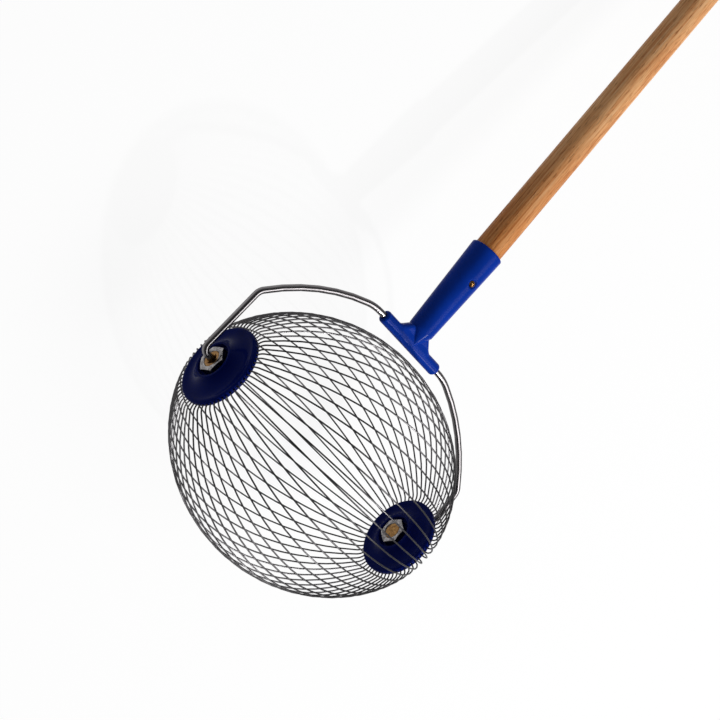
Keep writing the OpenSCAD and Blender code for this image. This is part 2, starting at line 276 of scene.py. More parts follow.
# %% Lamps
lamp_direction = Vector((0.50, 0.05, 0.86)).normalized()
lamp_distance = 2.2
lamp_sides = (1.6, 1.2)
lamp_power = 37
glint_direction = Vector((0.60, -0.38, 0.70))
glint_strength = 1.2
glint_width = math.radians(2)


def add_lamp(name, kind, direction, strength):
    """A lamp that stands off from the axle in a direction and shines back at it."""
    lamp = bpy.data.objects.new(name, bpy.data.lights.new(name, kind))
    lamp.data.energy = strength
    lamp.rotation_euler = direction.to_track_quat("Z", "Y").to_euler()
    lamp.location = Vector(axle) + lamp_distance * direction
    bpy.context.scene.collection.objects.link(lamp)
    return lamp


soft_lamp = add_lamp("soft_lamp", "AREA", lamp_direction, lamp_power)
soft_lamp.data.shape = "RECTANGLE"
soft_lamp.data.size, soft_lamp.data.size_y = lamp_sides
glint_lamp = add_lamp("glint_lamp", "SUN", glint_direction, glint_strength)
glint_lamp.data.angle = glint_width
print("lamp", lamp_sides, "m, from", [round(part, 2) for part in lamp_direction])

# %% [markdown]
# ## Wood
# The handle is a turned dowel of a ring-porous timber. Its growth rings are far wider than the
# dowel, so on the round they show as long, slightly wavy streaks, with short dark pores in the
# early wood. Rings about a heart that lies outside the dowel give those streaks from any side,
# where a painted stripe would look right from one side only. The colour is darker and warmer at
# the foot, next to the socket, and paler further up. A thin clear lacquer goes over it.

# %% Wood finish
wood_heart = (20 * MM, 0, 31 * MM)
foot_tones = [(0.12, (0.70, 0.330, 0.125)), (0.42, (0.61, 0.240, 0.072)),
              (0.68, (0.48, 0.157, 0.040)), (0.95, (0.33, 0.085, 0.018))]
shaft_tones = [(0.12, (0.84, 0.505, 0.268)), (0.42, (0.79, 0.420, 0.185)),
               (0.68, (0.67, 0.290, 0.110)), (0.95, (0.47, 0.158, 0.049))]
paler_from = 270 * MM
paler_to = 430 * MM
pore_colour = (0.17, 0.058, 0.017, 1)
pore_share = 0.6
streak_weight, ring_weight, broad_weight = 0.45, 0.30, 0.25
grain_depth = 0.12 * MM


def wood_finish():
    finish = Finish("lacquered_wood", coat_weight=0.03, coat_roughness=0.25,
                    specular_ior_level=0.1)
    turn = (lean, 0, 0)
    to_heart = (wood_heart[0], 0, wood_heart[2] - float(axle @ above))
    wavy = finish.place(scale=(1, 0.035, 1), turn=turn, shift=to_heart)
    rings = finish.add("TexWave", {"Vector": wavy, "Scale": 80, "Distortion": 3.4, "Detail": 2.5,
                                   "Detail Scale": 0.9}, wave_type="RINGS", rings_direction="Y",
                       wave_profile="SAW").outputs["Fac"]
    streaks = finish.noise(finish.place(scale=(1, 0.045, 1), turn=turn), scale=640, detail=4)
    dashes = finish.noise(finish.place(scale=(1, 0.09, 1), turn=turn), scale=1150, detail=2)
    broad = finish.noise(finish.place(scale=(1, 0.16, 1), turn=turn), scale=60, detail=3)
    early_wood = finish.spread(rings, 0.2, 0.9, to_low=0.35)
    pores = finish.combine("MULTIPLY", finish.spread(dashes, 0.54, 0.66), early_wood)
    tone = finish.combine("MULTIPLY", finish.spread(streaks, 0.32, 0.68), streak_weight)
    tone = finish.combine("MULTIPLY_ADD", rings, ring_weight, tone)
    tone = finish.combine("MULTIPLY_ADD", finish.spread(broad, 0.3, 0.7), broad_weight, tone)
    run = finish.add("SeparateXYZ", {0: finish.place(turn=turn)}).outputs["Y"]
    axle_place = float(axle @ along)
    up_shaft = finish.spread(run, axle_place + paler_from, axle_place + paler_to)
    colour = finish.mix(up_shaft, finish.ramp(tone, foot_tones), finish.ramp(tone, shaft_tones))
    colour = finish.mix(finish.combine("MULTIPLY", pores, pore_share), colour, pore_colour)
    roughness = finish.spread(streaks, 0.3, 0.7, to_low=0.38, to_high=0.54)
    height = finish.combine("SUBTRACT", streaks, pores)
    return finish.dress(colour, roughness, finish.bump(height, grain_depth))


wood = wood_finish()

# %% [markdown]
# ## Moulded plastic
# The tee head and the hub discs are one kind of glossy injection moulding, the head in royal
# blue and the discs in a darker blue. Part of the discs' darkness is painted shade: their colour
# is darker than their own plastic, standing in for the shade their faces lie in. A moulded skin is never a perfect
# mirror: it has a slight
# orange peel, cloudy patches where the gloss is lower, and rubbed corners that turn paler with
# use. Pointiness, which knows how sharply the mesh bends, finds those corners.

# %% Plastic finishes
deep_share = 0.82
cloudy_loss = 0.06
peel_depth = 0.005 * MM


def plastic_finish(name, colour, pale, gloss, sheen):
    finish = Finish(name, ior=1.45, specular_ior_level=sheen)
    where = finish.place()
    clouds = finish.noise(where, scale=45, detail=3)
    peel = finish.noise(where, scale=900, detail=2)
    rub = finish.noise(where, scale=260, detail=4)
    bend = finish.add("NewGeometry", {}).outputs["Pointiness"]
    worn = finish.combine("MULTIPLY", finish.spread(bend, 0.53, 0.60),
                          finish.spread(rub, 0.45, 0.7, to_high=0.55))
    deep = tuple(deep_share * value for value in colour)
    body = finish.ramp(clouds, [(0.3, deep), (0.7, colour)])
    body = finish.mix(worn, body, (*pale, 1))
    roughness = finish.spread(clouds, 0.3, 0.7, to_low=gloss, to_high=gloss + cloudy_loss)
    return finish.dress(body, roughness, finish.bump(peel, peel_depth))


blue = plastic_finish("royal_blue_moulding", (0.004, 0.036, 0.34), (0.03, 0.10, 0.52), 0.2, 0.034)
# The discs' colour is darker than their plastic: part of it is painted shade.
shaded_disc_blue = plastic_finish("disc_blue_painted_shade", (0.003, 0.009, 0.115), (0.012, 0.03, 0.24), 0.1, 0.018)

# %% [markdown]
# ## Steel and brass
# The yoke's rod and the wires are cold drawn, so their skin has fine lines that run along the
# metal. Those lines have to follow every bend: each tube made below therefore stores, at every
# point, how far along and round the metal that point lies, and the noise is read there and
# stretched lengthwise. The nuts are zinc plated, with a faint cloudy bloom, and the bushes and
# the screw are turned brass, with rings left by the tool.

# %% Metal finishes
dull_share = 0.35
dull_loss = 0.12
brush_depth = 0.03 * MM
tool_mark_depth = 0.01 * MM


def drawn_finish(name, dark, light, shine, line_depth):
    """Drawn rod or wire: lines along its length, from the mesh's own run attribute."""
    finish = Finish(name, metallic=1.0, specular_tint=(0.6, 0.6, 0.6, 1))
    lines = finish.noise(finish.attribute("run", (1, 1, 6)), scale=9, detail=4)
    patches = finish.noise(finish.attribute("run", (0.4, 0.4, 30)), scale=2, detail=3)
    colour = finish.ramp(lines, [(0.3, dark), (0.7, light)])
    dull = finish.spread(patches, 0.35, 0.7, to_high=dull_share)
    colour = finish.mix(dull, colour, (*dark, 1))
    roughness = finish.spread(patches, 0.3, 0.7, to_low=shine, to_high=shine + dull_loss)
    return finish.dress(colour, roughness, finish.bump(lines, line_depth))


def zinc_finish():
    """Zinc plate: cloudy patches of grey, and fine marks from handling."""
    finish = Finish("zinc_plate", metallic=1.0)
    bloom = finish.noise(finish.place(), scale=420, detail=4, distortion=0.6)
    brush = finish.noise(finish.place(scale=(6, 1, 1)), scale=900, detail=3)
    colour = finish.ramp(bloom, [(0.35, (0.11, 0.104, 0.108)), (0.65, (0.34, 0.326, 0.328))])
    roughness = finish.spread(bloom, 0.3, 0.7, to_low=0.16, to_high=0.4)
    return finish.dress(colour, roughness, finish.bump(brush, brush_depth))


def brass_finish():
    """Turned brass: rings about the basket's axle, and a brown bloom left unpolished."""
    finish = Finish("turned_brass", metallic=1.0)
    centred = finish.place(shift=(0, -float(axle[1]), -float(axle[2])))
    rings = finish.add("TexWave", {"Vector": centred, "Scale": 520, "Distortion": 1.5},
                       wave_type="RINGS", rings_direction="X").outputs["Fac"]
    bloom = finish.noise(finish.place(), scale=330, detail=4)
    colour = finish.ramp(bloom, [(0.3, (0.31, 0.175, 0.062)), (0.65, (0.16, 0.078, 0.026))])
    roughness = finish.spread(bloom, 0.3, 0.7, to_low=0.14, to_high=0.32)
    return finish.dress(colour, roughness, finish.bump(rings, tool_mark_depth))


rod_steel = drawn_finish("drawn_rod", (0.13, 0.122, 0.125), (0.27, 0.258, 0.262), 0.16, 0.005 * MM)
wire_steel = drawn_finish("spring_wire", (0.04, 0.038, 0.04), (0.13, 0.126, 0.13), 0.28, 0.001 * MM)
zinc = zinc_finish()
brass = brass_finish()

# %% [markdown]
# ## Helpers for meshes
# Most pieces here are rings of points: a tube is a ring carried along a path, and a disc, nut or
# bush is a ring carried round its profile. One helper joins neighbouring rings with four-sided
# faces, and a second makes the object, with smooth shading and crisp edges. A third sets the
# object on its body and hides the plain CAD node that it stands in for.

# %% Rings and pieces
def turn_angles(count):
    """Equal steps of one full turn."""
    return np.arange(count) * 2 * math.pi / count


def ring_faces(rings, size, loop):
    """Faces between rings of equally many points. A loop joins the last ring to the first."""
    faces = []
    for ring in range(rings if loop else rings - 1):
        here, there = ring * size, (ring + 1) % rings * size
        for i in range(size):
            j = (i + 1) % size
            faces.append((here + i, here + j, there + j, there + i))
    if not loop:
        faces.append(tuple(reversed(range(size))))
        faces.append(tuple(range((rings - 1) * size, rings * size)))
    return faces


def add_piece(name, points, faces, material, sharp_angle=32):
    """A mesh object in the row frame, with its faces turned outwards."""
    mesh = bpy.data.meshes.new(name)
    mesh.from_pydata(np.asarray(points).reshape(-1, 3).tolist(), [], faces)
    shell = bmesh.new()
    shell.from_mesh(mesh)
    bmesh.ops.recalc_face_normals(shell, faces=shell.faces)
    shell.to_mesh(mesh)
    shell.free()
    mesh.shade_smooth()
    mesh.set_sharp_from_angle(angle=math.radians(sharp_angle))
    mesh.materials.append(material)
    piece = bpy.data.objects.new(name, mesh)
    bpy.context.scene.collection.objects.link(piece)
    return piece


def stand_in(piece, body, node):
    """The piece moves with a body and hides the plain CAD node that it stands in for."""
    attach(piece, body)
    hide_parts(node)
    return piece


print("mesh helpers ready")

# %% [markdown]
# ## Bent wire and rod
# A wire former works in steps: a straight run, then a bend of some radius through some angle.
# The same list of steps describes both the basket's wires and the yoke, so one function walks
# the steps and returns points, and another carries a ring of points along them.

# %% Paths and tubes
bend_step = math.radians(5)


def heading(angle):
    return np.array([math.cos(angle), math.sin(angle)])


def bent_path(start, angle, steps):
    """Points of a flat path from a start, at an angle.

    Each step is a straight run, then a bend's radius and how far it turns to the right.
    """
    points = [np.array(start, float)]
    for run, radius, turn in steps:
        if run:
            points.append(points[-1] + run * heading(angle))
        centre = points[-1] + radius * heading(angle - math.pi / 2)
        count = math.ceil(turn / bend_step)
        for i in range(1, count + 1):
            points.append(centre + radius * heading(angle + math.pi / 2 - turn * i / count))
        angle -= turn
    return np.array(points)


def tube(path, flat_normal, radius, sides):
    """Rings about a path that lies in one plane, and each point's place round and along it."""
    legs = np.diff(path, axis=0)
    lengths = np.linalg.norm(legs, axis=1)
    legs = legs / lengths[:, None]
    tangents = np.vstack([legs[:1], legs[:-1] + legs[1:], legs[-1:]])
    tangents = tangents / np.linalg.norm(tangents, axis=1)[:, None]
    inwards = np.cross(flat_normal, tangents)
    round_angles = turn_angles(sides)
    spokes = (np.cos(round_angles)[None, :, None] * inwards[:, None, :]
              + np.sin(round_angles)[None, :, None] * np.asarray(flat_normal)[None, None, :])
    rings = path[:, None, :] + radius * spokes
    run = np.zeros(rings.shape)
    run[:, :, 0] = np.cos(round_angles)
    run[:, :, 1] = np.sin(round_angles)
    run[:, :, 2] = np.concatenate([[0], np.cumsum(lengths)])[:, None]
    return rings, run


def store_run(piece, run):
    """Keeps each point's place along the metal on the mesh, for the drawn finishes."""
    stored = piece.data.attributes.new("run", "FLOAT_VECTOR", "POINT")
    stored.data.foreach_set("vector", np.asarray(run, np.float32).ravel())


print("bends are drawn in steps of", round(math.degrees(bend_step)), "degrees")

# %% [markdown]
# ## The basket's wires
# Sixty spring wires run from hub to hub. Each leaves the hub's rim straight outwards, turns
# through a small bend and then sweeps over the belly in one long arc. The arc's radius isn't
# free: it has to reach the belly's width and meet both bends smoothly, which one equation gives.
# Neighbouring wires share an object, as they share a node in the frame.

# %% A wire's path
hub_x = 145 * MM
hub_r = 40.5 * MM
belly_r = 122.8 * MM
wire_count = 60
wires_per_set = 2
wire_r = 0.75 * MM
wire_bend_r = 10 * MM
wire_rim_run = 2.3 * MM
wire_grip = 11.4 * MM
wire_sides = 10

bend_x = hub_x - wire_bend_r
bend_y = hub_r + wire_rim_run
belly_rise = belly_r - bend_y
belly_arc_r = (bend_x ** 2 + belly_rise ** 2 - wire_bend_r ** 2) / (2 * (belly_rise - wire_bend_r))
belly_half_turn = math.atan2(bend_x, belly_arc_r - belly_rise)
wire_bend_turn = math.pi / 2 - belly_half_turn
wire_leg = wire_rim_run + wire_grip
wire_steps = [(wire_leg, wire_bend_r, wire_bend_turn), (0, belly_arc_r, 2 * belly_half_turn),
              (0, wire_bend_r, wire_bend_turn), (wire_leg, 0, 0)]
wire_path = bent_path((-hub_x, hub_r - wire_grip), math.pi / 2, wire_steps)
wire_pitch = 2 * math.pi / wire_count
print("belly arc radius", round(belly_arc_r / MM, 1), "mm, in a path of", len(wire_path), "points")


# %% Basket wires
def wire_angle(number):
    """Angle of a wire round the axle: straight down lies halfway between two wires."""
    return -math.pi / 2 + wire_pitch * (number + 0.5)


def wire_rings(number):
    angle = wire_angle(number)
    outwards = np.array([0, math.cos(angle), math.sin(angle)])
    path = wire_path[:, :1] * across + wire_path[:, 1:] * outwards
    rings, run = tube(path, np.cross(across, outwards), wire_r, wire_sides)
    run[:, :, 2] += number
    return in_basket(rings), run


wire_faces = ring_faces(len(wire_path), wire_sides, loop=False)
wire_points = len(wire_path) * wire_sides
set_faces = [tuple(wire_points * i + corner for corner in face)
             for i in range(wires_per_set) for face in wire_faces]
for first in range(0, wire_count, wires_per_set):
    rings, runs = zip(*(wire_rings(first + i) for i in range(wires_per_set)))
    set_number = first // wires_per_set + 1
    piece = add_piece(f"wires_{set_number}", np.concatenate(rings), set_faces, wire_steel)
    store_run(piece, np.concatenate(runs))
    stand_in(piece, "basket", f"basket_wires_{set_number}")
print(wire_count, "wires of", 2 * wire_r / MM, "mm")

# %% [markdown]
# ## The yoke
# The yoke is one steel rod, bent to the same list of steps on both sides. Its ends are the axle:
# they turn in the hubs' bushes. The long bow between shoulder and crossbar takes whatever radius
# closes the path, so the rod meets both the hub and the tee head without a kink.

# %% The yoke's bends
rod_r = 6.35 / 2 * MM
nut_face = 13 * MM
axle_run = 5.2 * MM
stub_end_x = 135.9 * MM
hub_bend_r = 7 * MM
shoulder_r = 12 * MM
collar_r = 60 * MM
bar_y = 138.35 * MM
bar_end_x = 48.9 * MM
leg_lean = math.radians(4)
shoulder_slope = math.radians(47)
collar_slope = math.radians(18)
rod_sides = 32

leg_heading = math.pi / 2 - leg_lean
leg_foot_x = hub_x + nut_face + axle_run + hub_bend_r * math.sin(leg_heading)
leg_foot_y = hub_bend_r * (1 + math.cos(leg_heading))
bends_x = (collar_r * math.sin(collar_slope)
           + shoulder_r * (math.sin(leg_heading) - math.sin(shoulder_slope)))
bends_y = (collar_r * (1 - math.cos(collar_slope))
           + shoulder_r * (math.cos(shoulder_slope) - math.cos(leg_heading)))
bow_x_share = math.sin(shoulder_slope) - math.sin(collar_slope)
bow_y_share = math.cos(collar_slope) - math.cos(shoulder_slope)
fall_y = bar_y - bends_y - leg_foot_y
bow_r = ((leg_foot_x - bar_end_x - bends_x - fall_y * math.tan(leg_lean))
         / (bow_x_share - bow_y_share * math.tan(leg_lean)))
leg_length = (fall_y - bow_r * bow_y_share) / math.cos(leg_lean)
stub_length = hub_x + nut_face + axle_run - stub_end_x
print("bow radius", round(bow_r / MM, 1), "mm, legs", round(leg_length / MM, 1), "mm long")

# %% Yoke rod
half_steps = [(stub_length, hub_bend_r, math.pi - leg_heading),
              (leg_length, shoulder_r, leg_heading - shoulder_slope),
              (0, bow_r, shoulder_slope - collar_slope),
              (0, collar_r, collar_slope)]
bends = [(radius, turn) for run, radius, turn in half_steps]
runs = [run for run, radius, turn in half_steps]
back_runs = [2 * bar_end_x] + runs[:0:-1]
yoke_steps = half_steps + [(run, *bend) for run, bend in zip(back_runs, bends[::-1])]
yoke_steps.append((stub_length, 0, 0))
flat_path = bent_path((-stub_end_x, 0), math.pi, yoke_steps)
yoke_path = np.column_stack([flat_path, np.zeros(len(flat_path))])
rod_rings, rod_run = tube(yoke_path, np.array([0, 0, 1.0]), rod_r, rod_sides)
rod_faces = ring_faces(len(yoke_path), rod_sides, loop=False)
yoke = add_piece("yoke", in_yoke(rod_rings), rod_faces, rod_steel)
store_run(yoke, rod_run)
stand_in(yoke, "yoke", "yoke_rod")
print("the yoke's path closes at", (flat_path[-1] / MM).round(2).tolist(), "mm")

# %% [markdown]
# ## Profiles with soft corners
# A lathe profile is easy to read as a few corners, but real mouldings have no razor edges. This
# helper takes corners, each with its own radius, and replaces every corner by a small arc that
# is tangent to both sides, the way a fillet is drawn on paper.

# %% Soft profiles
def softened(corners, steps=5):
    """Points of an open outline: each corner is (x, y, radius), and a radius makes it an arc."""
    points = []
    for i, (x, y, radius) in enumerate(corners):
        here = np.array([x, y])
        if radius == 0:
            points.append(here)
            continue
        before = np.array(corners[i - 1][:2]) - here
        after = np.array(corners[i + 1][:2]) - here
        before, after = before / np.linalg.norm(before), after / np.linalg.norm(after)
        half_angle = math.acos(np.clip(before @ after, -1, 1)) / 2
        reach = radius / math.tan(half_angle)
        centre_way = before + after
        centre = here + centre_way / np.linalg.norm(centre_way) * radius / math.sin(half_angle)
        first, last = here + before * reach - centre, here + after * reach - centre
        sweep = math.pi - 2 * half_angle
        for step in range(steps + 1):
            share = step / steps
            spoke = first * math.sin((1 - share) * sweep) + last * math.sin(share * sweep)
            points.append(centre + spoke / math.sin(sweep))
    return np.array(points)


def dished(start, end, depth, steps=18):
    """Points of an arc from start to end that sinks by depth below their straight line."""
    start, end = np.array(start), np.array(end)
    half_length = np.linalg.norm(end - start) / 2
    radius = (half_length ** 2 + depth ** 2) / (2 * depth)
    way = (end - start) / (2 * half_length)
    centre = (start + end) / 2 + (radius - depth) * np.array([way[1], -way[0]])
    sweep = 2 * math.asin(half_length / radius)
    first, last = start - centre, end - centre
    shares = np.linspace(0, 1, steps + 1)[:, None]
    spokes = first * np.sin((1 - shares) * sweep) + last * np.sin(shares * sweep)
    return centre + spokes / math.sin(sweep)


def hub_rings(profile, angles, side):
    """Rings on a hub's axis: a profile holds radius and height, and height points outwards."""
    radius, height = profile[..., 0], profile[..., 1]
    y, z = radius * np.cos(angles), radius * np.sin(angles)
    x = np.broadcast_to(side * (hub_x + height), y.shape)
    return in_basket(np.stack([x, y, z], axis=-1))


print("soft profiles ready")

# %% [markdown]
# ## Hub discs
# Two discs clamp the wires' ends in each hub: a plain outer cap, and an inner plate with a slot
# for every wire. Both have the same face: a rolled rim, a dished sweep and a raised boss with a
# pit for the nut. The plate's slots show as notches at its rim, so its rings are not plain
# circles: where a slot runs, the points of its flat back drop to the slot's floor.

# %% A disc's profile
rim_h = 3.4 * MM
rim_round = 2 * MM
rim_flat = 1.3 * MM
boss_h = 11 * MM
boss_r = 19 * MM
dish_depth = 3.3 * MM
pit_r = 16.5 * MM
pit_h = 5 * MM
bush_hole_r = 8.15 * MM
disc_split = 0.9 * MM
edge_soft = 0.6 * MM
back_edge_soft = 0.25 * MM


def disc_profile(base):
    """Outline of a disc's cross-section: flat back, rolled rim, dished sweep, boss and pit."""
    crest = (hub_r - rim_round - rim_flat, rim_h)
    sweep = dished(crest, (boss_r, boss_h - edge_soft), dish_depth)
    rim = softened([(bush_hole_r, base, 0), (hub_r, base, back_edge_soft),
                    (hub_r, rim_h, rim_round), (*crest, 0)])
    boss = softened([(*sweep[-2], 0), (boss_r, boss_h, edge_soft), (pit_r, boss_h, edge_soft),
                     (pit_r, pit_h, edge_soft), (bush_hole_r, pit_h, 0)])
    return np.vstack([rim, sweep[1:-1], boss[1:]])


print("disc profile of", len(disc_profile(disc_split)), "points")

# %% Hub discs
slot_half = 0.9 * MM
slot_wall = 0.06 * MM
slot_reach = 10.15 * MM
cap_points = 240
disc_sharp_angle = 40


def slot_angles():
    """Angles round a plate, with the two edges of each slot's mouth doubled into steep walls."""
    inner, outer = slot_half / hub_r, (slot_half + slot_wall) / hub_r
    offsets = [-outer, -inner, inner, outer, wire_pitch / 2]
    return np.array([wire_angle(k) + offset for k in range(wire_count) for offset in offsets])


def add_cap(side, name, node):
    profile = disc_profile(disc_split)
    rings = hub_rings(profile[:, None, :], turn_angles(cap_points)[None, :], side)
    faces = ring_faces(len(profile), cap_points, loop=True)
    piece = add_piece(name, rings, faces, shaded_disc_blue, disc_sharp_angle)
    return stand_in(piece, "basket", node)


def add_plate(side, name, node):
    """The inner disc faces the other way, so its heights are turned over."""
    profile = disc_profile(-disc_split)
    slot_start = hub_r - slot_reach
    flat_back = np.array([[slot_start, -disc_split], [slot_start + slot_wall, -disc_split]])
    profile = np.vstack([profile[:1], flat_back, profile[1:]])
    angles = slot_angles()
    grid = np.repeat(profile[:, None, :], len(angles), axis=1)
    in_slot = np.tile([False, True, True, False, False], wire_count)
    on_back = (profile[:, 0] > slot_start) & (profile[:, 1] < disc_split)
    lowered = on_back[:, None] & in_slot[None, :]
    grid[..., 1] = np.where(lowered, np.maximum(grid[..., 1], disc_split), grid[..., 1])
    grid[..., 1] *= -1
    rings = hub_rings(grid, angles[None, :], side)
    faces = ring_faces(len(profile), len(angles), loop=True)
    piece = add_piece(name, rings, faces, shaded_disc_blue, disc_sharp_angle)
    return stand_in(piece, "basket", node)


hub_sides = {"left": -1, "right": 1}
for side_name, side in hub_sides.items():
    add_cap(side, f"{side_name}_cap", f"{side_name}_hub_cap")
    add_plate(side, f"{side_name}_plate", f"{side_name}_hub_plate")
print("hub discs with", wire_count, "slots each")

# %% [markdown]
# ## Nuts and bushes
# A hexagon nut is chamfered by a cone on its crown, so the chamfer's edge dips between corners
# in six shallow arches. The formula for a hexagon's radius at an angle gives the flats, and the
# cone gives the height where each flat ends, so the arches come out by themselves. The bush is
# a turned brass thimble: open and flared outside, closed inside, with a small centre mark.

# %% Nuts
nut_af = 24 * MM
nut_t = 8 * MM
nut_chamfer = 0.9 * MM
nut_mouth = 0.7 * MM
nut_corner_r = nut_af / math.sqrt(3)
crown_r = nut_af / 2 - nut_chamfer
nut_edge = 0.18 * MM
nut_points = 144
nut_sharp_angle = 20
outer_turns = {"left": 7.6, "right": 24}
inner_turns = {"left": 41, "right": 54}


def nut_rings(turn, side, outside):
    """Rings round a nut's own section, from its bore over the seat, the flats and the crown."""
    angles = turn_angles(nut_points)
    to_corner = np.mod(angles, math.pi / 3) - math.pi / 6
    flat_r = nut_af / 2 / np.cos(to_corner)
    slope = nut_chamfer / (nut_corner_r - crown_r)
    crown_h = nut_t - slope * (flat_r - crown_r)
    full = np.ones(nut_points)
    section = [(bush_hole_r * full, nut_mouth * full), ((bush_hole_r + nut_mouth) * full, 0 * full),
               (flat_r - nut_edge, 0 * full), (flat_r, nut_edge * full),
               (flat_r, crown_h - nut_edge), (flat_r - nut_edge, crown_h + nut_edge * slope),
               (crown_r * full, nut_t * full),
               ((bush_hole_r + nut_mouth) * full, nut_t * full),
               (bush_hole_r * full, (nut_t - nut_mouth) * full)]
    radius = np.array([r for r, h in section])
    height = outside * (pit_h + np.array([h for r, h in section]))
    return hub_rings(np.stack([radius, height], axis=-1), angles[None, :] + turn, side)


for side_name, side in hub_sides.items():
    for turns, outside, kind in ((outer_turns, 1, "outer"), (inner_turns, -1, "inner")):
        rings = nut_rings(math.radians(turns[side_name]), side, outside)
        faces = ring_faces(len(rings), nut_points, loop=True)
        piece = add_piece(f"{side_name}_{kind}_hex", rings, faces, zinc, nut_sharp_angle)
        stand_in(piece, "basket", f"{side_name}_{kind}_nut")
print("four nuts,", nut_af / MM, "mm across flats")

# %% Bushes
bush_r = 8 * MM
bush_below_nut = 0.6 * MM
bush_half = nut_face - bush_below_nut
bush_lip = 0.5 * MM
bush_mouth_r = 5.5 * MM
bush_mouth_depth = 3 * MM
bush_mouth_soft = 0.4 * MM
bush_play = 0.08 * MM
bush_bore_r = rod_r + bush_play
bush_end = 3 * MM
centre_mark_r = 1.3 * MM
centre_mark_depth = 0.6 * centre_mark_r
centre_mark_soft = 0.15 * MM
axis_gap = 0.05 * MM
bush_points = 96


def bush_profile():
    """Radius and height from the centre mark, over the outside, to the bore's floor."""
    floor_h = bush_end - bush_half
    return softened([
        (axis_gap, centre_mark_depth - bush_half, 0),
        (centre_mark_r, -bush_half, centre_mark_soft),
        (bush_r, -bush_half, bush_lip), (bush_r, bush_half, bush_lip),
        (bush_mouth_r, bush_half, bush_mouth_soft),
        (bush_bore_r, bush_half - bush_mouth_depth, bush_mouth_soft),
        (bush_bore_r, floor_h, 0), (axis_gap, floor_h, 0)])


profile = bush_profile()
faces = ring_faces(len(profile), bush_points, loop=False)
for side_name, side in hub_sides.items():
    rings = hub_rings(profile[:, None, :], turn_angles(bush_points)[None, :], side)
    piece = add_piece(f"{side_name}_bush", rings, faces, brass)
    stand_in(piece, "basket", f"{side_name}_axle_bush")
print("two bushes,", 2 * bush_r / MM, "mm thick")

# %% [markdown]
# ## The tee head
# The head is one moulding: a crossbar, a flat gusset and a long socket that grow into each other.
# Above and below the gusset, a slanted cone leads from a point on the crossbar up to the socket's
# full round, and meets the flat gusset in a crisp V.
#
# Bevelling the seams of three joined solids is fiddly, so this piece uses a distance field. For
# each form a short function says how far a point lies from its skin. A smooth minimum melts the
# forms together with a fillet, and a smooth cut takes out the bores. The plain CAD mesh, remeshed
# into even little squares, gives the points, and each point then slides onto the field's skin.

# %% Distance fields
def outline_distance(points, corners):
    """Signed distance of flat points to a closed outline, negative inside."""
    corners = np.asarray(corners, float)
    nearest = np.full(len(points), np.inf)
    inside = np.zeros(len(points), bool)
    for here, there in zip(corners, np.roll(corners, -1, axis=0)):
        edge, spoke = there - here, points - here
        share = np.clip(spoke @ edge / (edge @ edge), 0, 1)
        nearest = np.minimum(nearest, ((spoke - share[:, None] * edge) ** 2).sum(axis=1))
        below, above_it = here[1] <= points[:, 1], there[1] > points[:, 1]
        left = edge[0] * spoke[:, 1] > edge[1] * spoke[:, 0]
        inside ^= (below & above_it & left) | (~below & ~above_it & ~left)
    return np.where(inside, -1, 1) * np.sqrt(nearest)


def inset(corners, depth):
    """A convex outline, given anticlockwise, with every side moved inwards by a depth."""
    corners = np.asarray(corners, float)
    edges = np.roll(corners, -1, axis=0) - corners
    edges = edges / np.linalg.norm(edges, axis=1)[:, None]
    inner = np.column_stack([-edges[:, 1], edges[:, 0]])
    moved = []
    for i in range(len(corners)):
        sides = np.array([inner[i - 1], inner[i]])
        moved.append(corners[i] + np.linalg.solve(sides, [depth, depth]))
    return np.array(moved)


def melted(first, second, fillet):
    """Smooth union of two distances."""
    share = np.clip(0.5 + 0.5 * (second - first) / fillet, 0, 1)
    return second + (first - second) * share - fillet * share * (1 - share)


def carved(body, tool, fillet):
    """Smooth cut of a tool out of a body."""
    return -melted(-body, tool, fillet)


print("distance fields ready")

# %% The tee head's sizes
crossbar_r = 6.5 * MM
crossbar_half = 44.1 * MM
crossbar_round = 2.6 * MM
socket_reach = 115 * MM
socket_base = 16 * MM
socket_floor = 18 * MM
socket_wall = 2.6 * MM
socket_round = 1.5 * MM
socket_tip_r = 2 * MM
handle_r = 14.3 * MM
tenon_r = 10.5 * MM
seat_gap = 0.15 * MM
socket_taper = (handle_r - tenon_r) / (socket_reach - socket_floor)
socket_base_r = tenon_r + seat_gap + socket_wall - socket_taper * (socket_floor - socket_base)
socket_mouth_r = handle_r + seat_gap + socket_wall
gusset_half_foot = 29.5 * MM
gusset_rise = 15.2 * MM
gusset_half_t = 5.4 * MM
gusset_round = 4.2 * MM
screw_place = 78.7 * MM
counterbore_r = 4.5 * MM
screw_hole_r = 2.15 * MM
screw_floor = 1.2 * MM
screw_seat = tenon_r + seat_gap + socket_taper * (screw_place - socket_floor) + screw_floor
web_fillet = 3 * MM
neck_fillet = 0.7 * MM
neck_slant = 1.2
bore_edge = 0.5 * MM
print("socket", round(2 * socket_mouth_r / MM, 1), "mm wide at its mouth")


